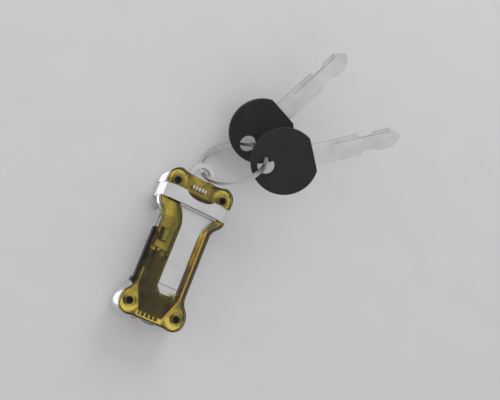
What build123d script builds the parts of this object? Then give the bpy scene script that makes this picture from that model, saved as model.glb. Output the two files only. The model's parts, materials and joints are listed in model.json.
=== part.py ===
from build123d import *
import math
import os

os.makedirs("parts", exist_ok=True)

# Frame: the lock lies on its back, +Z out of the amber front, +Y towards the eyelet.
# The origin is the centre of the back face. All sizes are in millimetres.

# ---- outline of the body, seen from the front ----
LOBE_X = 16.3  # half width over the corner lobes
WAIST_X = 11.8  # half width of the waist
TOP_Y = 34.4
BOTTOM_Y = -34.4
DIP = 1.1  # how far the end edges dip between the lobes
LOBE_R = 5.3
SHOULDER_TOP_Y = 20.0
SHOULDER_LOW_Y = 10.5
FLARE_TOP_Y = -18.0
FLARE_LOW_Y = -28.4

# ---- levels along Z ----
PARTING_Z = 12.2
COVER_LOW_Z = PARTING_Z + 0.08  # hairline under the cover
FRONT_Z = 15.4
FRAME_TOP_Z = 13.7
ROOF_Z = 14.0
PLATE_TOP_Z = 12.8
LID_TOP_Z = 12.5
LOCK_Z = 6.3  # height of the plug, cam and bolt axis

# ---- back edge bevel ----
BEVEL_UP = 1.8
BEVEL_IN = 1.2
COVER_BEVEL = 0.7

# ---- cover screws ----
SCREW_X = 11.5
SCREW_Y = 28.5
SCREW_HEAD_R = 1.7
SCREW_SHANK_R = 1.3
SCREW_HOLE_R = 1.85
SCREW_SEAT_Z = 13.6

# ---- mechanism ----
TRAVEL = 7.5
TURN_DEG = 180.0
BORE_R = 5.55
PLUG_R = 5.5
PLUG_FACE_Y = -31.3
PLUG_END_Y = -16.4
CAVITY_LOW_Y = -16.2
CAVITY_TOP_Y = 8.2
CAVITY_FLOOR_Z = 1.4
CAM_R = 4.5
CAM_START_Y = -16.1
CAM_END_Y = -4.2
FOLLOWER_Y = -13.2
FOLLOWER_R = 1.0
GROOVE_R = 1.3
BOLT_R = 2.5
BOLT_TIP_Y = 13.9
BOLT_FIT = 0.05
SLOT_LOW_Y = 14.4
SLOT_TOP_Y = 19.4
SLOT_DEPTH = 9.3
RETAIN_PIN_X = 5.5
RETAIN_PIN_Y = -24.0
RETAIN_PIN_R = 0.8
WAFER_YS = (-30.0, -28.0, -26.0, -21.5, -19.5)

# ---- thumb bar on the left side ----
BAR_OUT_X = -13.0
BAR_IN_X = -11.1
BAR_LOW_Y = -18.5
BAR_TOP_Y = 6.0
BAR_LOW_Z = 9.0
BAR_TOP_Z = 12.0
FOOT_Y = -20.2

# ---- central window of the cover ----
WIN_LEFT_X = -2.3
WIN_FLOOR_RIGHT_X = 7.0
WIN_FRONT_RIGHT_X = 9.4
WIN_LOW_Y = -20.6
WIN_TOP_Y = 19.6
WALL = 1.0
HOLLOW_TOP_Y = 12.6  # top of the hollow in the left strut

# ---- collar ----
COLLAR_LOW_Y = 19.6
COLLAR_TOP_Y = 26.0
COLLAR_X = 16.8
COLLAR_EDGE_X = 15.4
COLLAR_FLAT_X = 11.0
COLLAR_FRONT_Z = 15.8
COLLAR_EDGE_Z = 13.9
COLLAR_END_Z = 7.8
COLLAR_T = 0.8
TAB_X = 0.9
TAB_HALF = 6.7
TAB_DROP = 2.6

# ---- inner frame around the lower window ----
FRAME_UPPER_Y = -4.3
FRAME_RIM_LOW_Z = 12.88  # where the frame's rim lies over the centre plate
FRAME_GAP_Z = 13.76  # underside of the cover's wall above the frame
RIB_XS = (-5.2, -3.1, -1.0, 1.1, 3.2)  # ribs on the frame's lower edge
RIB_HALF = 0.35
RIB_LOW_Y = -32.6

# ---- perimeter gasket between body and cover ----
GASKET_TOP_Z = 12.7
GASKET_OUT = 0.2  # inset of its outer edge from the outline
GASKET_IN = 0.8

# ---- bosses round the cover screws ----
BOSS_IN_R = 2.6
BOSS_OUT_R = 3.15
BOSS_TOP_Z = 14.5

# ---- orange seal lip ----
SEAL_X = 9.6
SEAL_W = 0.45
SEAL_TOP_Z = 13.9

# ---- rods beside the window, inside the left strut ----
ROD_XS = (-4.3, -5.4)
ROD_TOPS = (11.5, 14.5)
ROD_R = 0.45
ROD_LOW_Y = -2.85
ROD_Z = 12.97

# ---- eyelet ----
EYE_X = -1.5
EYE_Y = 34.5
EYE_OUT_R = 6.4
EYE_HOLE_R = 4.0
EYE_LOW_Z = 11.6
EYE_TOP_Z = 14.4
TAIL_TOP_Z = 13.2

# ---- split ring and keys ----
RING_CENTRE = (9.59, 47.06, 14.10)
RING_NORMAL = (-0.648, 0.526, 0.551)
RING_OUT_R = 15.9
RING_IN_R = 14.4
RING_COIL_T = 0.75
RING_COIL_GAP = 0.1
FRONT_HOLE = (20.728, 49.58, 24.855)
FRONT_NORMAL = (-0.2292, -0.41, 0.8828)
FRONT_ALONG = (0.7207, 0.5381, 0.4371)
REAR_HOLE = (14.72, 59.926, 8.448)
REAR_NORMAL = (-0.042, -0.3951, 0.9177)
REAR_ALONG = (0.3365, 0.8592, 0.3853)
KEY_HEAD_R = 15.3
KEY_HEAD_T = 2.4
KEY_HOLE_R = 3.9
KEY_HOLE_TO_HEAD = 8.5
KEY_FLAT = 13.4
KEY_TIP = 61.0
BLADE_W = 9.6
BLADE_T = 1.8
BLADE_HALF_OUTLINE = ((42.4, 4.8), (44.2, 3.1), (48.6, 3.1), (50.6, 4.3), (57.0, 4.3), (KEY_TIP, 0.8))
BLADE_GROOVE_MIDDLE = (43.8, 3.4)
BLADE_GROOVE_LENGTH = 25.4
BLADE_GROOVE_W = 1.1
BLADE_GROOVE_DEPTH = 0.5


def y_cylinder(radius, y_low, y_top, x=0.0, z=LOCK_Z):
    """A cylinder along Y between two places on the lock's axis."""
    rod = Cylinder(radius, y_top - y_low, align=(Align.CENTER, Align.CENTER, Align.MIN), mode=Mode.PRIVATE)
    return Pos(x, y_low, z) * Rot(-90, 0, 0) * rod


def block(x_low, x_top, y_low, y_top, z_low, z_top):
    """A plain box from its two corners."""
    size = (x_top - x_low, y_top - y_low, z_top - z_low)
    middle = ((x_low + x_top) / 2, (y_low + y_top) / 2, (z_low + z_top) / 2)
    return Pos(*middle) * Box(*size, mode=Mode.PRIVATE)


def finish(builder, name):
    """Label a finished part and write its STEP file."""
    builder.part.label = name
    export_step(builder.part, f"parts/{name}.step")


# The outline is drawn once: right half, then its mirror image.
with BuildSketch() as outline:
    with BuildLine():
        top = Line((0, TOP_Y - DIP), (5.5, TOP_Y - DIP))
        crest = TangentArc(top @ 1, (LOBE_X - LOBE_R, TOP_Y), tangent=(1, 0))
        corner = TangentArc((LOBE_X - LOBE_R, TOP_Y), (LOBE_X, TOP_Y - LOBE_R), tangent=(1, 0))
        side = Line(corner @ 1, (LOBE_X, SHOULDER_TOP_Y))
        shoulder_mid = ((LOBE_X + WAIST_X) / 2, (SHOULDER_TOP_Y + SHOULDER_LOW_Y) / 2)
        shoulder_a = TangentArc(side @ 1, shoulder_mid, tangent=(0, -1))
        shoulder_b = TangentArc(shoulder_mid, (WAIST_X, SHOULDER_LOW_Y), tangent=shoulder_a % 1)
        waist = Line(shoulder_b @ 1, (WAIST_X, FLARE_TOP_Y))
        foot_x = LOBE_X - 0.5
        flare_mid = ((foot_x + WAIST_X) / 2, (FLARE_TOP_Y + FLARE_LOW_Y) / 2)
        flare_a = TangentArc(waist @ 1, flare_mid, tangent=(0, -1))
        flare_b = TangentArc(flare_mid, (foot_x, FLARE_LOW_Y), tangent=flare_a % 1)
        low_side = Line(flare_b @ 1, (foot_x, BOTTOM_Y + LOBE_R))
        low_corner = TangentArc(low_side @ 1, (foot_x - LOBE_R, BOTTOM_Y), tangent=(0, -1))
        low_crest = Line(low_corner @ 1, (6.5, BOTTOM_Y + 0.4))
        bottom = Line(low_crest @ 1, (0, BOTTOM_Y + 0.4))
        mirror(about=Plane.YZ)
    make_face()

gasket_hole = offset(outline.sketch, amount=-GASKET_IN, mode=Mode.PRIVATE)
gasket_hole_cut = offset(outline.sketch, amount=-GASKET_IN - 0.05, mode=Mode.PRIVATE)
gasket_edge = offset(outline.sketch, amount=-GASKET_OUT, mode=Mode.PRIVATE)

screw_places = [(SCREW_X, SCREW_Y), (-SCREW_X, SCREW_Y), (SCREW_X, -SCREW_Y), (-SCREW_X, -SCREW_Y)]

# The space that the collar leaves: everything outside its inner profile, in its stretch of Y.
collar_in_x = COLLAR_X - COLLAR_T
collar_profile_in = [
    (-collar_in_x, -1.0),
    (-collar_in_x, COLLAR_END_Z),
    (-(COLLAR_EDGE_X - COLLAR_T), COLLAR_EDGE_Z - 0.5),
    (-COLLAR_FLAT_X, COLLAR_FRONT_Z - COLLAR_T),
    (COLLAR_FLAT_X, COLLAR_FRONT_Z - COLLAR_T),
    (COLLAR_EDGE_X - COLLAR_T, COLLAR_EDGE_Z - 0.5),
    (collar_in_x, COLLAR_END_Z),
    (collar_in_x, -1.0),
]
with BuildPart() as collar_space:
    with BuildSketch(Plane.XZ.offset(-COLLAR_LOW_Y + 0.1)):
        Rectangle(50, 50)
        Polygon(*collar_profile_in, align=None, mode=Mode.SUBTRACT)
    extrude(amount=-(COLLAR_TOP_Y - COLLAR_LOW_Y + 0.2))

# ---- rear body ----
with BuildPart() as rear_body:
    with BuildSketch(Plane.XY.offset(BEVEL_UP)):
        add(outline.sketch)
    extrude(amount=PARTING_Z - BEVEL_UP)
    # the back edge is bevelled
    with BuildSketch(Plane.XY.offset(BEVEL_UP)):
        add(outline.sketch)
    extrude(amount=-BEVEL_UP, taper=math.degrees(math.atan(BEVEL_IN / BEVEL_UP)))
    # mechanism cavity: narrow low down, wide at the rim
    add(block(-8.3, 6.6, CAVITY_LOW_Y, CAVITY_TOP_Y, CAVITY_FLOOR_Z + 1.2, 20), mode=Mode.SUBTRACT)
    add(block(-6.0, 6.0, CAVITY_LOW_Y, CAVITY_TOP_Y, CAVITY_FLOOR_Z, 20), mode=Mode.SUBTRACT)
    add(block(-8.3, -5.6, CAVITY_TOP_Y - 1, 12.2, 9.6, 20), mode=Mode.SUBTRACT)
    # plug bore, retaining pin hole, bolt guide and strike pocket
    add(y_cylinder(BORE_R, BOTTOM_Y - 1, CAVITY_LOW_Y + 0.1), mode=Mode.SUBTRACT)
    with Locations((RETAIN_PIN_X, RETAIN_PIN_Y, PARTING_Z)):
        Hole(RETAIN_PIN_R, depth=9.6)
    add(y_cylinder(BOLT_R + BOLT_FIT, CAVITY_TOP_Y - 0.5, SLOT_LOW_Y + 0.5), mode=Mode.SUBTRACT)
    add(y_cylinder(3.5, SLOT_TOP_Y - 0.5, SLOT_TOP_Y + 4.6), mode=Mode.SUBTRACT)
    # the disc slot across the back
    add(block(-30, 30, SLOT_LOW_Y, SLOT_TOP_Y, -1, SLOT_DEPTH), mode=Mode.SUBTRACT)
    # thumb bar groove and the slot for its neck
    bar_path = block(-30, BAR_IN_X + 0.15, FOOT_Y - 0.4, BAR_TOP_Y + TRAVEL + 0.4, BAR_LOW_Z - 0.2, 20)
    add(bar_path, mode=Mode.SUBTRACT)
    add(block(-12, -8.0, -12.4, -4.0 + TRAVEL + 0.4, 10.2, 20), mode=Mode.SUBTRACT)
    # tapped screw holes
    with Locations(*[(x, y, PARTING_Z) for x, y in screw_places]):
        Hole(SCREW_SHANK_R, depth=8.4)
    # seat of the collar
    add(collar_space.part, mode=Mode.SUBTRACT)

# ---- amber front cover ----
with BuildPart() as front_cover:
    with BuildSketch(Plane.XY.offset(COVER_LOW_Z)):
        add(outline.sketch)
    extrude(amount=FRONT_Z - COVER_LOW_Z - COVER_BEVEL)
    with BuildSketch(Plane.XY.offset(FRONT_Z - COVER_BEVEL)):
        add(outline.sketch)
    extrude(amount=COVER_BEVEL, taper=45)
    # groove for the collar, then the tab that fills the collar's dip
    add(collar_space.part, mode=Mode.SUBTRACT)
    with BuildSketch(Plane.XY.offset(14.4)):
        with Locations((TAB_X, COLLAR_TOP_Y + 0.3)):
            Ellipse(TAB_HALF - 0.3, TAB_DROP - 0.1)
    extrude(amount=FRONT_Z - 14.4)
    # central window: left wall upright, right wall leaning out
    with BuildSketch(Plane.XZ.offset(-WIN_LOW_Y)):
        Polygon(
            (WIN_LEFT_X, PARTING_Z - 1),
            (WIN_FLOOR_RIGHT_X, PARTING_Z - 1),
            (WIN_FLOOR_RIGHT_X, PARTING_Z),
            (WIN_FRONT_RIGHT_X + 0.2, FRONT_Z + 0.3),
            (WIN_LEFT_X, FRONT_Z + 0.3),
            align=None,
        )
    extrude(amount=-(WIN_TOP_Y - WIN_LOW_Y), mode=Mode.SUBTRACT)
    # cut lower corners of the window
    for inner_x, step in ((WIN_LEFT_X - 0.05, 2.0), (WIN_FLOOR_RIGHT_X + 0.05, -2.0)):
        with BuildSketch(Plane.XY.offset(COVER_LOW_Z)):
            Polygon(
                (inner_x, WIN_LOW_Y - 0.05), (inner_x + step, WIN_LOW_Y - 0.05), (inner_x, WIN_LOW_Y + 2.6),
                align=None,
            )
        extrude(amount=FRONT_Z - COVER_LOW_Z)
    # the window flares out below the collar
    with BuildSketch(Plane.XY.offset(PARTING_Z - 1)):
        with BuildLine():
            Spline((WIN_LEFT_X, 9.5), (-3.0, 13.2), (-6.8, 19.0), tangents=((0, 1), (-1, 0.7)))
            Line((-6.8, 19.0), (-6.8, WIN_TOP_Y))
            Line((-6.8, WIN_TOP_Y), (11.8, WIN_TOP_Y))
            Line((11.8, WIN_TOP_Y), (11.8, 19.2))
            Spline((11.8, 19.2), (9.5, 15.0), (WIN_FLOOR_RIGHT_X, 7.0), tangents=((-1, -1.2), (-0.25, -1)))
            Line((WIN_FLOOR_RIGHT_X, 7.0), (WIN_LEFT_X, 9.5))
        make_face()
    extrude(amount=6, mode=Mode.SUBTRACT)
    # hollow for the inner frame, its rods, the seal and the detent
    with BuildSketch(Plane.XY.offset(PARTING_Z)):
        Polygon(
            (-10.6, HOLLOW_TOP_Y), (-10.6, -20.5), (-6.2, -31.0), (5.7, -31.0), (10.1, -20.5), (10.1, 13.2),
            (9.5, 13.2), (9.0, 9.0), (9.0, WIN_LOW_Y - 0.8), (WIN_LEFT_X - WALL, WIN_LOW_Y - 0.8),
            (WIN_LEFT_X - WALL, 9.0), (-4.0, HOLLOW_TOP_Y),
            align=None,
        )
    extrude(amount=ROOF_Z - PARTING_Z, mode=Mode.SUBTRACT)
    for rod_x, rod_top in zip(ROD_XS, ROD_TOPS):
        add(block(rod_x - 0.65, rod_x + 0.6, 8.0, rod_top + 0.3, PARTING_Z, ROOF_Z), mode=Mode.SUBTRACT)
    add(
        block(WIN_LEFT_X - WALL - 0.1, 9.1, WIN_LOW_Y - 0.9, FRAME_UPPER_Y + 0.1, PARTING_Z, FRAME_GAP_Z),
        mode=Mode.SUBTRACT,
    )
    with BuildSketch(Plane.XY.offset(PARTING_Z)):
        with Locations((SEAL_X - 0.9, -5.3)):
            Circle(0.7)
    extrude(amount=ROOF_Z - PARTING_Z, mode=Mode.SUBTRACT)
    # rebate for the gasket, and a ring-shaped relief round each screw boss
    with BuildSketch(Plane.XY.offset(PARTING_Z)):
        add(outline.sketch)
        add(gasket_hole_cut, mode=Mode.SUBTRACT)
    extrude(amount=GASKET_TOP_Z + 0.05 - PARTING_Z, mode=Mode.SUBTRACT)
    with BuildSketch(Plane.XY.offset(PARTING_Z)):
        with Locations(*screw_places):
            Circle(BOSS_OUT_R)
            Circle(BOSS_IN_R, mode=Mode.SUBTRACT)
    extrude(amount=BOSS_TOP_Z - PARTING_Z, mode=Mode.SUBTRACT)
    # pocket for the ribs on the frame's lower edge
    rib_pocket = block(RIB_XS[0] - 0.6, RIB_XS[-1] + 0.6, RIB_LOW_Y - 0.15, -30.9, PARTING_Z, ROOF_Z)
    add(rib_pocket, mode=Mode.SUBTRACT)
    # pocket for the eyelet's tail
    add(block(-14.4, 14.4, 24.6, 32.2, PARTING_Z, TAIL_TOP_Z + 0.05), mode=Mode.SUBTRACT)
    add(
        block(EYE_X - EYE_OUT_R - 0.2, EYE_X + EYE_OUT_R + 0.2, 30, 36, PARTING_Z, TAIL_TOP_Z + 0.05),
        mode=Mode.SUBTRACT,
    )
    # pocket for the collar pad
    add(block(-6.0, 7.8, 20.4, 25.75, PARTING_Z, 13.3), mode=Mode.SUBTRACT)
    # room for the centre plate
    add(block(-3.5, 8.3, WIN_LOW_Y - 0.5, 12.0, PARTING_Z, PLATE_TOP_Z + 0.02), mode=Mode.SUBTRACT)
    add(block(-7.6, 12.4, 11.9, 20.3, PARTING_Z, PLATE_TOP_Z + 0.02), mode=Mode.SUBTRACT)
    add(block(-6.8, 11.8, WIN_TOP_Y - 0.9, WIN_TOP_Y, PARTING_Z, 20), mode=Mode.SUBTRACT)
    # screw holes
    with Locations(*[(x, y, FRONT_Z) for x, y in screw_places]):
        CounterBoreHole(SCREW_SHANK_R + 0.15, SCREW_HOLE_R, FRONT_Z - SCREW_SEAT_Z)

# ---- collar ----
with BuildPart() as collar:
    with BuildSketch(Plane.XZ.offset(-COLLAR_LOW_Y)):
        Polygon(
            (-COLLAR_X, COLLAR_END_Z), (-COLLAR_EDGE_X, COLLAR_EDGE_Z), (-COLLAR_FLAT_X, COLLAR_FRONT_Z),
            (COLLAR_FLAT_X, COLLAR_FRONT_Z), (COLLAR_EDGE_X, COLLAR_EDGE_Z), (COLLAR_X, COLLAR_END_Z),
            align=None,
        )
        Polygon(*collar_profile_in, align=None, mode=Mode.SUBTRACT)
    extrude(amount=-(COLLAR_TOP_Y - COLLAR_LOW_Y))
    with BuildSketch(Plane.XY.offset(12)):
        with Locations((TAB_X, COLLAR_TOP_Y + 0.3)):
            Ellipse(TAB_HALF, TAB_DROP + 0.2)
    extrude(amount=8, mode=Mode.SUBTRACT)

# ---- centre plate, seen through the window ----
with BuildPart() as centre_plate:
    with BuildSketch(Plane.XY.offset(PARTING_Z)):
        Polygon(
            (-3.3, WIN_LOW_Y), (-3.3, 12.0), (-7.4, 18.6), (-7.4, WIN_TOP_Y - 0.1), (12.2, WIN_TOP_Y - 0.1),
            (12.2, 18.6), (8.1, 12.0), (8.1, WIN_LOW_Y),
            align=None,
        )
    extrude(amount=PLATE_TOP_Z - PARTING_Z)
    fillet(centre_plate.edges().filter_by(Axis.Z).group_by(Axis.Y)[0], radius=1.6)
    # bevelled lower end
    with BuildSketch(Plane.YZ.offset(-5)):
        Polygon(
            (-16.4, PLATE_TOP_Z), (-16.4, PLATE_TOP_Z + 1), (-22, PLATE_TOP_Z + 1), (-22, 12.4), align=None
        )
    extrude(amount=15, mode=Mode.SUBTRACT)
    add(block(-10, 10, -16.6, -16.35, PLATE_TOP_Z - 0.2, PLATE_TOP_Z + 1), mode=Mode.SUBTRACT)
    # upturned end against the collar
    add(block(-6.7, 11.7, WIN_TOP_Y - 0.8, WIN_TOP_Y - 0.1, PARTING_Z, 14.9))

# ---- black inner frame: a U whose rim forms the lower window wall ----
with BuildPart() as inner_frame:
    with BuildSketch(Plane.XY.offset(PARTING_Z)):
        Polygon(
            (-10.4, -7.7), (-10.4, -20.4), (-6.0, -30.7), (4.9, -30.7), (SEAL_X - 0.3, -20.6),
            (SEAL_X - 0.3, FRAME_UPPER_Y), (7.1, FRAME_UPPER_Y), (7.1, WIN_LOW_Y + 2.4),
            (5.1, WIN_LOW_Y - 0.1), (-0.4, WIN_LOW_Y - 0.1), (WIN_LEFT_X - 0.1, WIN_LOW_Y + 2.4),
            (WIN_LEFT_X - 0.1, FRAME_UPPER_Y),
            (-8.2, FRAME_UPPER_Y), (-8.2, -7.7),
            align=None,
        )
        with Locations((-5.6, -4.6)):
            Circle(1.7)
    extrude(amount=FRAME_TOP_Z - PARTING_Z)
    for rib_x in RIB_XS:
        add(block(rib_x - RIB_HALF, rib_x + RIB_HALF, RIB_LOW_Y, -30.6, PARTING_Z, FRAME_TOP_Z))
    # relief over the centre plate, and the leaning right wall
    add(block(-3.5, 8.3, WIN_LOW_Y - 0.2, 0, PARTING_Z - 1, FRAME_RIM_LOW_Z), mode=Mode.SUBTRACT)
    with BuildSketch(Plane.XZ.offset(-WIN_LOW_Y)):
        Polygon(
            (6.5, PARTING_Z), (7.05, PARTING_Z), (8.2, FRAME_TOP_Z + 0.01), (8.2, FRAME_TOP_Z + 1),
            (6.5, FRAME_TOP_Z + 1),
            align=None,
        )
    extrude(amount=-20, mode=Mode.SUBTRACT)
    with Locations((-5.6, -4.6, FRAME_TOP_Z), (SEAL_X - 0.9, -5.3, FRAME_TOP_Z)):
        Hole(0.5, depth=1.45)
    # a lower step along the left arm
    add(block(-11, -8.3, -20.0, -7.0, FRAME_TOP_Z - 0.6, FRAME_TOP_Z + 1), mode=Mode.SUBTRACT)

with BuildPart() as frame_rods:
    for rod_x, rod_top in zip(ROD_XS, ROD_TOPS):
        add(y_cylinder(ROD_R, ROD_LOW_Y, rod_top, rod_x, ROD_Z))

# ---- orange seal lip in the corner of the hollow ----
with BuildPart() as cover_seal:
    with BuildSketch(Plane.XY.offset(PARTING_Z + 0.02)):
        Polygon(
            (SEAL_X, 13.1), (SEAL_X + SEAL_W, 13.1), (SEAL_X + SEAL_W, -20.5), (5.7, -30.95),
            (5.7 - SEAL_W, -30.95), (SEAL_X, -20.5),
            align=None,
        )
        Polygon((-10.55, 12.4), (-10.4, 12.4), (-10.4, -7.0), (-10.55, -7.0), align=None)
    extrude(amount=SEAL_TOP_Z - PARTING_Z - 0.02)
    add(block(8, 13, 11.7, 20, PARTING_Z - 1, PLATE_TOP_Z + 0.05), mode=Mode.SUBTRACT)

# ---- perimeter gasket and the pad behind the collar ----
with BuildPart() as cover_gasket:
    with BuildSketch(Plane.XY.offset(PARTING_Z)):
        add(gasket_edge)
        add(gasket_hole, mode=Mode.SUBTRACT)
    extrude(amount=GASKET_TOP_Z - PARTING_Z)
    add(block(-30, 30, COLLAR_LOW_Y - 0.2, COLLAR_TOP_Y + 0.2, PARTING_Z - 1, 20), mode=Mode.SUBTRACT)
    eye_gap = block(EYE_X - EYE_OUT_R - 0.2, EYE_X + EYE_OUT_R + 0.2, 28, 36, PARTING_Z - 1, 20)
    add(eye_gap, mode=Mode.SUBTRACT)

with BuildPart() as collar_pad:
    add(block(-5.8, 7.6, 20.6, 25.6, PARTING_Z, 13.2))

with BuildPart() as frame_rivets:
    with BuildSketch(Plane.XY.offset(12.25)):
        with Locations((-5.6, -4.6), (SEAL_X - 0.9, -5.3)):
            Circle(0.5)
    extrude(amount=FRAME_TOP_Z - 12.25)
    with BuildSketch(Plane.XY.offset(FRAME_TOP_Z)):
        with Locations((-5.6, -4.6)):
            Circle(1.2)
        with Locations((SEAL_X - 0.9, -5.3)):
            Circle(0.6)
    extrude(amount=0.25)

# ---- cover screws ----
with BuildPart() as cover_screws:
    for x, y in screw_places:
        with BuildSketch(Plane.XY.offset(SCREW_SEAT_Z)):
            with Locations((x, y)):
                Circle(SCREW_HEAD_R)
        extrude(amount=1.1)
        with BuildSketch(Plane.XY.offset(5.0)):
            with Locations((x, y)):
                Circle(SCREW_SHANK_R)
        extrude(amount=SCREW_SEAT_Z - 5.0)
        with BuildSketch(Plane.XY.offset(SCREW_SEAT_Z + 1.1)):
            with Locations((x, y)):
                RegularPolygon(0.9, 6)
        extrude(amount=-0.8, mode=Mode.SUBTRACT)

# ---- eyelet: a loop on a tail that the upper screws clamp ----
with BuildPart() as eyelet:
    with BuildSketch(Plane.XY.offset(PARTING_Z)):
        with Locations((0, 28.9)):
            RectangleRounded(28.2, 6.0, 1.5)
        with Locations((EYE_X, 32.4)):
            Rectangle(2 * EYE_OUT_R - 2.2, 4.6)
    extrude(amount=TAIL_TOP_Z - PARTING_Z)
    with BuildSketch(Plane.XY.offset(EYE_LOW_Z)):
        with Locations((EYE_X, EYE_Y)):
            Circle(EYE_OUT_R)
        with Locations((EYE_X, TOP_Y - DIP - 9.75)):
            Rectangle(30, 20, mode=Mode.SUBTRACT)
    extrude(amount=EYE_TOP_Z - EYE_LOW_Z)
    with Locations((EYE_X, EYE_Y, EYE_TOP_Z)):
        Hole(EYE_HOLE_R, depth=5)
    with Locations((SCREW_X, SCREW_Y, TAIL_TOP_Z), (-SCREW_X, SCREW_Y, TAIL_TOP_Z)):
        Hole(SCREW_SHANK_R + 0.15, depth=3)

# ---- thumb bar with its neck ----
with BuildPart() as thumb_bar:
    add(block(BAR_OUT_X, BAR_IN_X, BAR_LOW_Y, BAR_TOP_Y, BAR_LOW_Z, BAR_TOP_Z))
    fillet(thumb_bar.edges().group_by(Axis.X)[0], radius=0.5)
    add(block(BAR_OUT_X - 0.7, BAR_IN_X, FOOT_Y, BAR_LOW_Y + 0.4, BAR_LOW_Z, BAR_TOP_Z))
    add(block(BAR_IN_X - 0.1, -7.8, -12.0, -4.0, 10.4, 11.9))
    with BuildSketch(Plane.YZ.offset(-9.4)):
        with Locations((-10.5, 11.15), (-5.5, 11.15)):
            Circle(0.4)
    extrude(amount=3, mode=Mode.SUBTRACT)

# ---- steel yoke: side rail, cross bar, detent tongue ----
with BuildPart() as drive_yoke:
    add(block(-7.8, -6.2, -14.8, 0.4, 4.8, 11.9))
    add(block(-7.8, -6.2, 0.3, 4.2, 10.0, 11.9))
    add(block(-6.3, 3.4, -1.4, 0.4, 3.2, 9.4))
    add(y_cylinder(1.5, -2, 1), mode=Mode.SUBTRACT)
    with BuildSketch(Plane.YZ.offset(-9.4)):
        with Locations((-10.5, 11.15), (-5.5, 11.15)):
            Circle(0.4)
        with Locations((FOLLOWER_Y, LOCK_Z)):
            Circle(0.8)
    extrude(amount=4, mode=Mode.SUBTRACT)

with BuildPart() as bar_rivets:
    with BuildSketch(Plane.YZ.offset(-9.3)):
        with Locations((-10.5, 11.15), (-5.5, 11.15)):
            Circle(0.4)
    extrude(amount=3.1)

with BuildPart() as cam_follower:
    with BuildSketch(Plane.YZ.offset(-7.8)):
        with Locations((FOLLOWER_Y, LOCK_Z)):
            Circle(0.8)
    extrude(amount=1.7)
    with BuildSketch(Plane.YZ.offset(-6.1)):
        with Locations((FOLLOWER_Y, LOCK_Z)):
            Circle(FOLLOWER_R)
    extrude(amount=1.8)
    with Locations((-4.3, FOLLOWER_Y, LOCK_Z)):
        Sphere(FOLLOWER_R)

# ---- lock bolt ----
with BuildPart() as lock_bolt:
    add(y_cylinder(BOLT_R, 0.4, BOLT_TIP_Y))
    chamfer(lock_bolt.edges().sort_by(Axis.Y)[-1], length=0.6)
    add(y_cylinder(1.5, -1.5, 0.5))
    add(y_cylinder(2.2, -2.4, -1.4))

# ---- plug with keyway, wafer slots and retaining groove ----
with BuildPart() as key_plug:
    add(y_cylinder(PLUG_R, PLUG_FACE_Y, PLUG_END_Y))
    add(y_cylinder(2.4, PLUG_END_Y - 0.1, -11.5))
    add(block(-4.9, 4.9, PLUG_FACE_Y - 1, -17.6, LOCK_Z - 1.1, LOCK_Z + 1.1), mode=Mode.SUBTRACT)
    for wafer_y in WAFER_YS:
        add(block(-5.0, 5.0, wafer_y - 0.55, wafer_y + 0.55, LOCK_Z - 2.1, LOCK_Z + 2.1), mode=Mode.SUBTRACT)
    groove_ring = y_cylinder(7, RETAIN_PIN_Y - 1.1, RETAIN_PIN_Y + 1.1) - y_cylinder(
        4.35, RETAIN_PIN_Y - 2, RETAIN_PIN_Y + 2
    )
    add(groove_ring, mode=Mode.SUBTRACT)
    with Locations((0, -14.6, LOCK_Z + 3)):
        Hole(0.7, depth=6)

with BuildPart() as wafers:
    for wafer_y in WAFER_YS:
        add(block(-4.8, 4.8, wafer_y - 0.45, wafer_y + 0.45, LOCK_Z - 2.0, LOCK_Z + 2.0))
        add(block(-3.3, 3.3, wafer_y - 1, wafer_y + 1, LOCK_Z - 1.2, LOCK_Z + 1.2), mode=Mode.SUBTRACT)

with BuildPart() as retaining_pin:
    with BuildSketch(Plane.XY.offset(2.8)):
        with Locations((RETAIN_PIN_X, RETAIN_PIN_Y)):
            Circle(RETAIN_PIN_R)
    extrude(amount=9.2)

# ---- barrel cam: its groove turns the plug half round over the bolt's travel ----
cam_pitch = TRAVEL * 360 / TURN_DEG
run_out_deg = 14.0
run_out = TRAVEL * run_out_deg / TURN_DEG
start_angle = math.radians(run_out_deg)
groove_plane = Plane(
    origin=(0, FOLLOWER_Y - run_out, LOCK_Z),
    x_dir=(-math.cos(start_angle), 0, math.sin(start_angle)),
    z_dir=(0, 1, 0),
)
with BuildPart(mode=Mode.PRIVATE) as cam_groove:
    with BuildLine() as groove_path:
        Helix(pitch=cam_pitch, height=TRAVEL + 2 * run_out, radius=CAM_R - 0.2, lefthand=True)
    with BuildSketch(Plane(origin=groove_path.line @ 0, z_dir=groove_path.line % 0)):
        Circle(GROOVE_R)
    sweep(path=groove_path.line, is_frenet=True)

with BuildPart() as plug_cam:
    add(y_cylinder(CAM_R, CAM_START_Y, CAM_END_Y))
    add(y_cylinder(2.4, CAM_START_Y - 1, -11.3), mode=Mode.SUBTRACT)
    add(groove_plane.location * cam_groove.part, mode=Mode.SUBTRACT)
    with Locations((0, -14.6, LOCK_Z + CAM_R)):
        Hole(0.7, depth=2 * CAM_R)

with BuildPart() as cam_pin:
    with BuildSketch(Plane.XY.offset(LOCK_Z - 4.1)):
        with Locations((0, -14.6)):
            Circle(0.7)
    extrude(amount=8.2)

# ---- strike bush and slot pad ----
with BuildPart() as strike_bush:
    add(y_cylinder(3.5, SLOT_TOP_Y + 0.1, SLOT_TOP_Y + 4.6))
    add(y_cylinder(BOLT_R + 0.1, SLOT_TOP_Y - 1, SLOT_TOP_Y + 3.6), mode=Mode.SUBTRACT)

with BuildPart() as slot_pad:
    add(block(-11, 11, SLOT_LOW_Y + 0.2, SLOT_TOP_Y - 0.2, SLOT_DEPTH - 0.4, SLOT_DEPTH))

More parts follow.
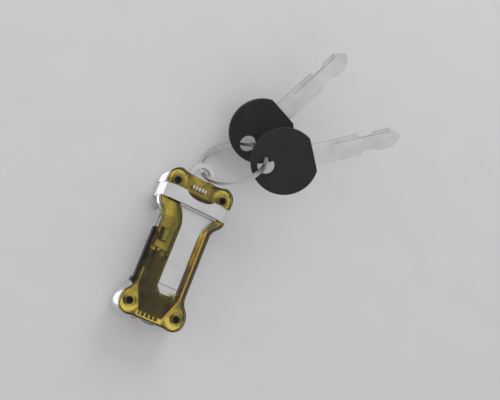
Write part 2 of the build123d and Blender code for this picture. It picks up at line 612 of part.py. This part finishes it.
# ---- steel lid over the mechanism, under the left strut ----
with BuildPart() as cavity_lid:
    add(block(-10.3, -3.5, -2.2, 8.9, PARTING_Z, LID_TOP_Z))
    add(block(-10.3, -4.2, 8.8, HOLLOW_TOP_Y - 0.2, PARTING_Z, LID_TOP_Z))
    with Locations((-7.2, 2.6, LID_TOP_Z)):
        Hole(0.95, depth=2)

# ---- detent ----
with BuildPart() as detent_block:
    add(block(-10.3, -6.1, 0.8, 6.8, LID_TOP_Z, 13.7))
    with Locations((-7.2, 2.6, 13.7)):
        Hole(0.95, depth=2)

with BuildPart() as detent_ball:
    with Locations((-7.2, 2.6, 12.86)):
        Sphere(0.85)

with BuildPart() as detent_leaf:
    add(block(-8.4, -6.2, 1.2, 6.4, 13.72, 13.92))

# ---- split ring: two flat coils ----
ring_plane = Plane(origin=RING_CENTRE, z_dir=RING_NORMAL)
with BuildPart() as split_ring:
    for side in (-1, 1):
        with BuildSketch(ring_plane.offset(side * (RING_COIL_T + RING_COIL_GAP) / 2 - RING_COIL_T / 2)):
            Circle(RING_OUT_R)
            Circle(RING_IN_R, mode=Mode.SUBTRACT)
        extrude(amount=RING_COIL_T)
    # the bridge where one coil steps over to the other
    with BuildSketch(ring_plane.offset(-RING_COIL_T)):
        with PolarLocations((RING_OUT_R + RING_IN_R) / 2, 1, start_angle=200):
            Rectangle(RING_OUT_R - RING_IN_R - 0.3, 3.0)
    extrude(amount=2 * RING_COIL_T)


# ---- the two keys ----
def key_parts(hole, normal, along):
    """Blade and head of one key. The local origin is the ring hole, local X runs towards the tip."""
    plane = Plane(origin=hole, x_dir=along, z_dir=normal)
    with BuildPart(mode=Mode.PRIVATE) as blade:
        with BuildSketch(plane.offset(-BLADE_T / 2)):
            with BuildLine():
                Polyline(
                    (KEY_HOLE_TO_HEAD + 5.0, -BLADE_W / 2),
                    (KEY_HOLE_TO_HEAD + 5.0, BLADE_W / 2),
                    *BLADE_HALF_OUTLINE,
                    *[(x, -y) for x, y in reversed(BLADE_HALF_OUTLINE)],
                    close=True,
                )
            make_face()
        extrude(amount=BLADE_T)
        # a milled groove on each face of the blade
        for face_sign in (-1, 1):
            groove_base = BLADE_T / 2 - BLADE_GROOVE_DEPTH if face_sign > 0 else -BLADE_T / 2
            with BuildSketch(plane.offset(groove_base)):
                with Locations(BLADE_GROOVE_MIDDLE):
                    Rectangle(BLADE_GROOVE_LENGTH, BLADE_GROOVE_W)
            extrude(amount=BLADE_GROOVE_DEPTH, mode=Mode.SUBTRACT)
    with BuildPart(mode=Mode.PRIVATE) as head:
        with BuildSketch(plane.offset(-KEY_HEAD_T / 2)):
            with Locations((KEY_HOLE_TO_HEAD, 0)):
                Circle(KEY_HEAD_R)
            with Locations((KEY_HOLE_TO_HEAD + KEY_FLAT + 10, 0)):
                Rectangle(20, 40, mode=Mode.SUBTRACT)
            Circle(KEY_HOLE_R, mode=Mode.SUBTRACT)
        extrude(amount=KEY_HEAD_T)
        fillet(head.edges().filter_by(GeomType.CIRCLE).sort_by(SortBy.LENGTH)[-2:], radius=0.5)
        with BuildSketch(plane.offset(-BLADE_T / 2)):
            with Locations((KEY_HOLE_TO_HEAD + 5.0, 0)):
                Rectangle(20, BLADE_W, align=(Align.MIN, Align.CENTER))
        extrude(amount=BLADE_T, mode=Mode.SUBTRACT)
    return blade, head


front_key_blade, front_key_head = key_parts(FRONT_HOLE, FRONT_NORMAL, FRONT_ALONG)
rear_key_blade, rear_key_head = key_parts(REAR_HOLE, REAR_NORMAL, REAR_ALONG)

finish(rear_body, "rear_body")
finish(front_cover, "front_cover")
finish(collar, "collar")
finish(centre_plate, "centre_plate")
finish(inner_frame, "inner_frame")
finish(frame_rivets, "frame_rivets")
finish(frame_rods, "frame_rods")
finish(cover_seal, "cover_seal")
finish(cover_gasket, "cover_gasket")
finish(collar_pad, "collar_pad")
finish(cover_screws, "cover_screws")
finish(eyelet, "eyelet")
finish(thumb_bar, "thumb_bar")
finish(drive_yoke, "drive_yoke")
finish(bar_rivets, "bar_rivets")
finish(cam_follower, "cam_follower")
finish(lock_bolt, "lock_bolt")
finish(key_plug, "key_plug")
finish(wafers, "wafers")
finish(retaining_pin, "retaining_pin")
finish(plug_cam, "plug_cam")
finish(cam_pin, "cam_pin")
finish(strike_bush, "strike_bush")
finish(slot_pad, "slot_pad")
finish(cavity_lid, "cavity_lid")
finish(detent_block, "detent_block")
finish(detent_ball, "detent_ball")
finish(detent_leaf, "detent_leaf")
finish(split_ring, "split_ring")
finish(front_key_blade, "front_key_blade")
finish(front_key_head, "front_key_head")
finish(rear_key_blade, "rear_key_blade")
finish(rear_key_head, "rear_key_head")
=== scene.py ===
import json

import bmesh
import bpy
from mathutils import Matrix, Vector


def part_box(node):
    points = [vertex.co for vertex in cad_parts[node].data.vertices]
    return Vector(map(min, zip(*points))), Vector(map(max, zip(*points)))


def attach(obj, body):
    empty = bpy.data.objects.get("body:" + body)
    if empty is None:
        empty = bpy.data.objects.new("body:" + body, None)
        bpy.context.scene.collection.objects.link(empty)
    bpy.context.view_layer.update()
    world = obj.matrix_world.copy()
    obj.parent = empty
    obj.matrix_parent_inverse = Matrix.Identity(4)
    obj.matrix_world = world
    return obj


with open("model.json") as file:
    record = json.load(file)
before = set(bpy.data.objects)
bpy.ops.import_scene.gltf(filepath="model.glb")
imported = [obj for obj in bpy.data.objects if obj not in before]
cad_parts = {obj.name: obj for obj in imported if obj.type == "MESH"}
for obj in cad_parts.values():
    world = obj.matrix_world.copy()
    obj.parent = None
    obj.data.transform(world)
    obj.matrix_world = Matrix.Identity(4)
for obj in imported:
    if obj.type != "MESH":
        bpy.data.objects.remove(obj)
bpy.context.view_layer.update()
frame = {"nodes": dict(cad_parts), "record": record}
scene = bpy.context.scene
MM = 0.001

# ---------------------------------------------------------------- places on the lock
# The lock lies face up. X runs across it, Y along it towards the eyelet, and both are 0 in its middle.
SCREW_HEAD_R = 1.7 * MM
screws_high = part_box("cover_screws")[1]
SCREW_X = screws_high[0] - SCREW_HEAD_R
SCREW_Y = screws_high[1] - SCREW_HEAD_R
# the seal: a straight run on the right, then a lean towards the lower end
SEAL_X = 9.7 * MM
SEAL_TOP_Y = 13.0 * MM
SEAL_BEND_Y = -20.5 * MM
SEAL_LOW_Y = -31.0 * MM
SEAL_LEAN = 0.416
# the left wall of the cover's window: straight, then bowed towards the collar
WINDOW_WALL_X = -2.3 * MM
WINDOW_BOW_Y = 9.5 * MM
WINDOW_BOW = 50.0
BELOW_COLLAR_Y = 21.0 * MM

# ---------------------------------------------------------------- camera
CAMERA_PLACE = (-0.13624, -0.06900, 0.42829)
CAMERA_RIGHT = (0.84045, 0.35127, 0.41261)
CAMERA_UP = (-0.41295, 0.90821, 0.06795)


def make_camera():
    data = bpy.data.cameras.new("camera")
    data.lens = 72
    data.sensor_width = 36
    data.clip_start = 0.01
    data.clip_end = 20
    camera = bpy.data.objects.new("camera", data)
    right = Vector(CAMERA_RIGHT)
    up = Vector(CAMERA_UP)
    turn = Matrix((right, up, right.cross(up))).transposed().to_4x4()
    camera.matrix_world = Matrix.Translation(Vector(CAMERA_PLACE)) @ turn
    scene.collection.objects.link(camera)
    scene.camera = camera


# ---------------------------------------------------------------- lights
WORLD_COLOUR = (0.99, 0.99, 1.0)
WORLD_STRENGTH = 0.78
CARD_PLACE = (-73.6 * MM, 0.0, 0.8 * MM)
CARD_SIZE = (112.8 * MM, 160.0 * MM)
CARD_POWER = 0.0615


def make_world():
    world = bpy.data.worlds.new("studio")
    world.use_nodes = True
    background = world.node_tree.nodes["Background"]
    background.inputs["Color"].default_value = (*WORLD_COLOUR, 1)
    background.inputs["Strength"].default_value = WORLD_STRENGTH
    scene.world = world


def make_light(name, place, size, power, aim=(0.02, 0.03, 0.01)):
    """A soft rectangular lamp that points at one place, the middle of the object if none is given."""
    data = bpy.data.lights.new(name, "AREA")
    data.shape = "RECTANGLE"
    data.size, data.size_y = size
    data.energy = power
    light = bpy.data.objects.new(name, data)
    light.location = place
    light.rotation_euler = (Vector(aim) - Vector(place)).to_track_quat("-Z", "Y").to_euler()
    scene.collection.objects.link(light)
    return light


def make_side_card():
    """A white card that lies beside the lock facing up, and that only reflections see."""
    straight_up = (CARD_PLACE[0], CARD_PLACE[1], 1.0)
    card = make_light("side_card", CARD_PLACE, CARD_SIZE, CARD_POWER, aim=straight_up)
    card.visible_camera = False
    card.visible_diffuse = False
    card.visible_transmission = False


make_camera()
scene.view_settings.view_transform = "Standard"
scene.view_settings.look = "None"
make_world()
make_light("top_light", (0.05, 0.75, 0.45), (0.5, 0.4), 2.2)
make_light("left_light", (-0.75, -0.10, 0.25), (0.5, 0.35), 0.8)
make_side_card()


# ---------------------------------------------------------------- node helpers
def new_material(name):
    material = bpy.data.materials.new(name)
    material.use_nodes = True
    tree = material.node_tree
    return material, tree, tree.nodes["Principled BSDF"]


def coords(tree, scale=(1, 1, 1)):
    """Object coordinates, scaled per axis."""
    place = tree.nodes.new("ShaderNodeTexCoord")
    mapping = tree.nodes.new("ShaderNodeMapping")
    mapping.inputs["Scale"].default_value = scale
    tree.links.new(place.outputs["Object"], mapping.inputs["Vector"])
    return mapping.outputs["Vector"]


def noise(tree, vector, scale, detail=3.0, rough=0.5):
    node = tree.nodes.new("ShaderNodeTexNoise")
    node.inputs["Scale"].default_value = scale
    node.inputs["Detail"].default_value = detail
    node.inputs["Roughness"].default_value = rough
    tree.links.new(vector, node.inputs["Vector"])
    return node.outputs["Fac"]


def ramp(tree, value, low, high, low_at=0.3, high_at=0.7):
    """Runs from one colour to another as a value goes from low_at to high_at."""
    node = tree.nodes.new("ShaderNodeValToRGB")
    node.color_ramp.elements[0].position = low_at
    node.color_ramp.elements[1].position = high_at
    node.color_ramp.elements[0].color = (*low, 1)
    node.color_ramp.elements[1].color = (*high, 1)
    tree.links.new(value, node.inputs["Fac"])
    return node.outputs["Color"]


def spread(tree, value, low, high, from_low=0.0, from_high=1.0):
    """Maps the range from_low to from_high onto low to high, and holds the value beyond its ends."""
    node = tree.nodes.new("ShaderNodeMapRange")
    node.inputs["From Min"].default_value = from_low
    node.inputs["From Max"].default_value = from_high
    node.inputs["To Min"].default_value = low
    node.inputs["To Max"].default_value = high
    tree.links.new(value, node.inputs["Value"])
    return node.outputs["Result"]


def rises(tree, value, start, full):
    """0 up to start, 1 from full on."""
    return spread(tree, value, 0.0, 1.0, start, full)


def falls(tree, value, start, end):
    """1 up to start, 0 from end on."""
    return spread(tree, value, 1.0, 0.0, start, end)


def maths(tree, operation, first, second=0.0):
    """One sum on values or numbers. An operation on one value leaves out the second."""
    node = tree.nodes.new("ShaderNodeMath")
    node.operation = operation
    for socket, value in zip(node.inputs, (first, second)):
        if isinstance(value, (int, float)):
            socket.default_value = value
        else:
            tree.links.new(value, socket)
    return node.outputs[0]


def product(tree, first, *others):
    """Several values multiplied together."""
    for other in others:
        first = maths(tree, "MULTIPLY", first, other)
    return first


def distance(tree, value, middle):
    """How far a value is from a middle one, on either side."""
    return maths(tree, "ABSOLUTE", maths(tree, "SUBTRACT", value, middle))


def blend(tree, factor, first, second):
    """Mixes two colours by a mask."""
    node = tree.nodes.new("ShaderNodeMix")
    node.data_type = "RGBA"
    tree.links.new(factor, node.inputs["Factor"])
    for socket, value in ((node.inputs[6], first), (node.inputs[7], second)):
        if isinstance(value, tuple):
            socket.default_value = (*value, 1)
        else:
            tree.links.new(value, socket)
    return node.outputs[2]


def rounded(tree, radius):
    """The normal as if every edge had a small radius."""
    node = tree.nodes.new("ShaderNodeBevel")
    node.samples = 4
    node.inputs["Radius"].default_value = radius
    return node.outputs["Normal"]


def edge_mask(tree, radius):
    """1 on edges, 0 on flats: where the rounded normal leaves the true one."""
    true_normal = tree.nodes.new("ShaderNodeNewGeometry").outputs["Normal"]
    dot = tree.nodes.new("ShaderNodeVectorMath")
    dot.operation = "DOT_PRODUCT"
    tree.links.new(rounded(tree, radius), dot.inputs[0])
    tree.links.new(true_normal, dot.inputs[1])
    return spread(tree, dot.outputs["Value"], 0.0, 1.0, 0.995, 0.90)


def bump(tree, shader, height, strength, depth, edge_radius):
    """Bump on top of edges that look rounded."""
    node = tree.nodes.new("ShaderNodeBump")
    node.inputs["Strength"].default_value = strength
    node.inputs["Distance"].default_value = depth
    tree.links.new(height, node.inputs["Height"])
    tree.links.new(rounded(tree, edge_radius), node.inputs["Normal"])
    tree.links.new(node.outputs["Normal"], shader.inputs["Normal"])


# ---------------------------------------------------------------- metals, plastics and rubber
def metal(name, dark, light, rough, grain=(1, 1, 1), grain_scale=900.0, edge=None, edge_radius=0.15):
    """Metal with directional grain, soft blotches and, if an edge colour is given, edges blended to it.
    edge_radius is in mm.
    """
    material, tree, shader = new_material(name)
    fine = noise(tree, coords(tree, grain), grain_scale, 2.0, 0.6)
    wide = noise(tree, coords(tree), 140.0, 4.0, 0.55)
    colour = ramp(tree, wide, dark, light, 0.35, 0.68)
    if edge:
        colour = blend(tree, edge_mask(tree, 2.0 * edge_radius * MM), colour, edge)
    tree.links.new(colour, shader.inputs["Base Color"])
    grain_part = spread(tree, fine, -0.05, 0.05)
    blotch_part = spread(tree, wide, rough - 0.04, rough + 0.06)
    tree.links.new(maths(tree, "ADD", grain_part, blotch_part), shader.inputs["Roughness"])
    shader.inputs["Metallic"].default_value = 1.0
    bump(tree, shader, fine, 0.25, 0.02 * MM, edge_radius * MM)
    return material


def plastic(name, dark, light, rough, grain_scale=1500.0, depth=0.03, specular=0.5, edge=None):
    """Moulded plastic or rubber with a fine grain and rubbed edges. depth is the grain's, in mm."""
    material, tree, shader = new_material(name)
    fine = noise(tree, coords(tree), grain_scale, 3.0, 0.6)
    wide = noise(tree, coords(tree), 120.0, 3.0, 0.5)
    colour = ramp(tree, wide, dark, light)
    if edge:
        colour = blend(tree, product(tree, edge_mask(tree, 0.4 * MM), wide), colour, edge)
    tree.links.new(colour, shader.inputs["Base Color"])
    tree.links.new(spread(tree, wide, rough - 0.05, rough + 0.08), shader.inputs["Roughness"])
    shader.inputs["Specular IOR Level"].default_value = specular
    bump(tree, shader, fine, 0.35, depth * MM, 0.2 * MM)
    return material


# ---------------------------------------------------------------- the see-through cover
def cover_place(tree):
    """X and Y of the shaded point, in metres from the middle of the lock."""
    split = tree.nodes.new("ShaderNodeSeparateXYZ")
    tree.links.new(coords(tree), split.inputs[0])
    return split.outputs["X"], split.outputs["Y"]


def screw_distance(tree, x, y):
    """How far the shaded point is from the nearest cover screw."""
    across = maths(tree, "SUBTRACT", maths(tree, "ABSOLUTE", x), SCREW_X)
    along = maths(tree, "SUBTRACT", maths(tree, "ABSOLUTE", y), SCREW_Y)
    square = maths(tree, "ADD", product(tree, across, across), product(tree, along, along))
    return maths(tree, "SQRT", square)


def painted_highlight_mask(tree):
    """1 on a crescent in each lobe and on a strip along the lower end: a painted highlight where these
    gather the most light.
    """
    x, y = cover_place(tree)
    away = screw_distance(tree, x, y)
    end = maths(tree, "ABSOLUTE", y)
    crescent = product(tree, rises(tree, away, 2.0 * MM, 3.2 * MM), falls(tree, away, 4.4 * MM, 5.2 * MM),
                       rises(tree, end, 27.8 * MM, 30.0 * MM))
    strip = product(tree, falls(tree, y, -31.0 * MM, -30.2 * MM), rises(tree, y, -33.3 * MM, -32.8 * MM),
                    maths(tree, "LESS_THAN", maths(tree, "ABSOLUTE", x), 6.5 * MM))
    return maths(tree, "MAXIMUM", crescent, strip)


def lobe_painted_shade_mask(tree):
    """1 round each lobe, between it and the struts: painted shade, which turns the cover brown there."""
    x, y = cover_place(tree)
    away = screw_distance(tree, x, y)
    end = maths(tree, "ABSOLUTE", y)
    side = maths(tree, "ABSOLUTE", x)
    return product(tree, rises(tree, away, 4.6 * MM, 5.8 * MM), rises(tree, end, 22.5 * MM, 24.5 * MM),
                   rises(tree, side, 4.0 * MM, 7.0 * MM))


def window_wall_painted_shade_mask(tree):
    """1 along the left wall of the window: painted shade, a darker tint beside the wall."""
    x, y = cover_place(tree)
    above = maths(tree, "MAXIMUM", maths(tree, "SUBTRACT", y, WINDOW_BOW_Y), 0.0)
    bow = product(tree, above, above, WINDOW_BOW)
    gap = maths(tree, "SUBTRACT", maths(tree, "SUBTRACT", WINDOW_WALL_X, bow), x)
    return product(tree, falls(tree, gap, 0.4 * MM, 2.4 * MM), maths(tree, "LESS_THAN", x, 0.0),
                   rises(tree, y, -7.0 * MM, -3.0 * MM), maths(tree, "LESS_THAN", y, BELOW_COLLAR_Y))


def right_side_painted_shade_mask(tree):
    """1 on the outer side of the right strut, which is turned from the light: painted shade."""
    x, y = cover_place(tree)
    return product(tree, rises(tree, x, 9.9 * MM, 10.3 * MM), rises(tree, y, -25.0 * MM, -22.0 * MM),
                   falls(tree, y, 17.5 * MM, 18.5 * MM))


def tab_mask(tree):
    """1 on the tab between the upper lobes, over the darker pad and the eyelet's tail."""
    x, y = cover_place(tree)
    return product(tree, falls(tree, distance(tree, x, -1.5 * MM), 4.0 * MM, 6.5 * MM),
                   rises(tree, y, 23.0 * MM, 24.0 * MM))


def seal_line_mask(tree):
    """1 along the line where the seal presses against the cover and shows through it."""
    x, y = cover_place(tree)
    below = maths(tree, "MAXIMUM", maths(tree, "SUBTRACT", SEAL_BEND_Y, y), 0.0)
    line = maths(tree, "SUBTRACT", SEAL_X, product(tree, below, SEAL_LEAN))
    return product(tree, falls(tree, distance(tree, x, line), 0.35 * MM, 0.65 * MM),
                   maths(tree, "LESS_THAN", y, SEAL_TOP_Y), maths(tree, "GREATER_THAN", y, SEAL_LOW_Y))


# tints painted on the cover: painted shade round the lobes, along the window wall and on the right strut's
# outer side, a painted highlight on the crescents and lower strip, and the tab's and the seal's colours
COVER_TINTS_AND_PAINTED_LIGHT = (
    (lobe_painted_shade_mask, (0.40, 0.33, 0.15)),
    (painted_highlight_mask, (0.95, 0.84, 0.33)),
    (window_wall_painted_shade_mask, (0.36, 0.31, 0.11)),
    (right_side_painted_shade_mask, (0.42, 0.37, 0.22)),
    (tab_mask, (0.68, 0.57, 0.19)),
    (seal_line_mask, (1.0, 0.86, 0.50)),
)


def amber_plastic():
    """Clear smoky amber: cloudy tint, slight flow lines, faint haze, painted shade in three places, a
    painted highlight in one, and the tab's and the seal's colours.
    """
    material, tree, shader = new_material("amber_plastic")
    wide = noise(tree, coords(tree), 110.0, 4.0, 0.6)
    flow = noise(tree, coords(tree, (1.0, 0.12, 1.0)), 300.0, 3.0, 0.6)
    cloud = maths(tree, "ADD", product(tree, wide, 0.65), product(tree, flow, 0.35))
    tint = ramp(tree, cloud, (0.46, 0.40, 0.16), (0.90, 0.79, 0.26), 0.36, 0.62)
    for mask, colour in COVER_TINTS_AND_PAINTED_LIGHT:
        tint = blend(tree, mask(tree), tint, colour)
    tree.links.new(tint, shader.inputs["Base Color"])
    tree.links.new(spread(tree, flow, 0.03, 0.09), shader.inputs["Roughness"])
    shader.inputs["Transmission Weight"].default_value = 1.0
    shader.inputs["IOR"].default_value = 1.35
    bump(tree, shader, flow, 0.12, 0.02 * MM, 0.15 * MM)
    return material


# ---------------------------------------------------------------- looks
# one look for each material slot of the record
slot_looks = {
    # the zinc's dark edge colour is painted shade along its edges
    "polished_zinc": metal("polished_zinc", (0.80, 0.80, 0.81), (0.93, 0.93, 0.94), 0.14,
                           edge=(0.16, 0.16, 0.17), edge_radius=0.3),
    "amber_plastic": amber_plastic(),
    # the satin steel's dark edge colour is painted shade along its edges
    "satin_steel": metal("satin_steel", (0.57, 0.57, 0.575), (0.63, 0.63, 0.635), 0.34, (1, 14, 1),
                         edge=(0.28, 0.28, 0.29), edge_radius=0.22),
    "hard_steel": metal("hard_steel", (0.42, 0.42, 0.44), (0.56, 0.56, 0.58), 0.25),
    "black_plastic": plastic("black_plastic", (0.012, 0.012, 0.012), (0.022, 0.022, 0.022), 0.42,
                             edge=(0.07, 0.07, 0.07)),
    "black_screw": metal("black_oxide", (0.010, 0.010, 0.011), (0.022, 0.022, 0.024), 0.42,
                         edge=(0.10, 0.10, 0.10)),
    "key_head_plastic": plastic("key_head_plastic", (0.018, 0.018, 0.018), (0.025, 0.025, 0.025), 0.62,
                                grain_scale=1800.0, depth=0.05, specular=0.2, edge=(0.05, 0.05, 0.05)),
    "key_steel": metal("key_nickel", (0.58, 0.58, 0.57), (0.68, 0.68, 0.67), 0.34, grain_scale=1200.0,
                       edge=(0.44, 0.44, 0.44)),
    "brass": metal("turned_brass", (0.62, 0.45, 0.18), (0.80, 0.62, 0.28), 0.25, (14, 1, 14)),
    "rubber_pad": plastic("rubber_pad", (0.03, 0.03, 0.028), (0.05, 0.05, 0.046), 0.8),
    "orange_seal": plastic("orange_seal", (0.95, 0.62, 0.18), (0.98, 0.70, 0.24), 0.5),
}
# pieces that look different from the rest of their slot
node_looks = {
    "frame_rivets": metal("rivet_steel", (0.22, 0.22, 0.23), (0.31, 0.31, 0.32), 0.3,
                          edge=(0.04, 0.04, 0.04)),
    "inner_frame": plastic("frame_black", (0.050, 0.043, 0.040), (0.075, 0.065, 0.058), 0.5),
    "thumb_bar": plastic("bar_black", (0.013, 0.013, 0.015), (0.021, 0.021, 0.023), 0.36, specular=0.15,
                         edge=(0.10, 0.10, 0.11)),
}
for part in frame["record"]["subparts"]:
    node_object = frame["nodes"][part["node"]]
    look = node_looks.get(part["node"], slot_looks[part["material_slot"]])
    if not node_object.material_slots:
        node_object.data.materials.append(look)
    for material_slot in node_object.material_slots:
        material_slot.material = look

# ---------------------------------------------------------------- plain inlay bars on the cover
BAR_COUNT = 5
BAR_SIZE = (0.9 * MM, 1.7 * MM, 0.06 * MM)
BAR_CORNER_R = 0.2 * MM
BAR_PITCH = 1.45 * MM
BAR_START = (-3.7 * MM, 28.6 * MM)


def inlay_bars():
    """A row of plain metal bars with rounded corners, half sunk in the cover's top."""
    cover_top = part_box("front_cover")[1][2]
    shape = bmesh.new()
    for i in range(BAR_COUNT):
        corners = bmesh.ops.create_cube(shape, size=1.0)["verts"]
        bmesh.ops.scale(shape, vec=BAR_SIZE, verts=corners)
        place = (BAR_START[0] + i * BAR_PITCH, BAR_START[1], cover_top)
        bmesh.ops.translate(shape, vec=place, verts=corners)
    upright = [e for e in shape.edges if abs(e.verts[0].co.z - e.verts[1].co.z) > 0.5 * BAR_SIZE[2]]
    bmesh.ops.bevel(shape, geom=upright, offset=BAR_CORNER_R, segments=4, affect="EDGES", profile=0.5)
    mesh = bpy.data.meshes.new("front_inlay")
    shape.to_mesh(mesh)
    shape.free()
    piece = bpy.data.objects.new("front_inlay", mesh)
    scene.collection.objects.link(piece)
    mesh.materials.append(slot_looks["key_steel"])
    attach(piece, "housing")


inlay_bars()

# ---------------------------------------------------------------- floor
FLOOR_HALF = 3.0
FLOOR_DROP = 0.2 * MM


def make_floor():
    """A wide sheet of pale matt paper, just below the lock's back."""
    mesh = bpy.data.meshes.new("floor")
    corners = [(sx * FLOOR_HALF, sy * FLOOR_HALF, 0) for sx, sy in ((-1, -1), (1, -1), (1, 1), (-1, 1))]
    mesh.from_pydata(corners, [], [(0, 1, 2, 3)])
    floor = bpy.data.objects.new("floor", mesh)
    floor.location.z = -FLOOR_DROP
    scene.collection.objects.link(floor)
    material, tree, shader = new_material("floor_paper")
    paper = noise(tree, coords(tree), 60.0, 3.0, 0.5)
    tree.links.new(ramp(tree, paper, (0.585, 0.585, 0.585), (0.60, 0.60, 0.60)), shader.inputs["Base Color"])
    shader.inputs["Roughness"].default_value = 0.95
    shader.inputs["Specular IOR Level"].default_value = 0.1
    mesh.materials.append(material)


make_floor()
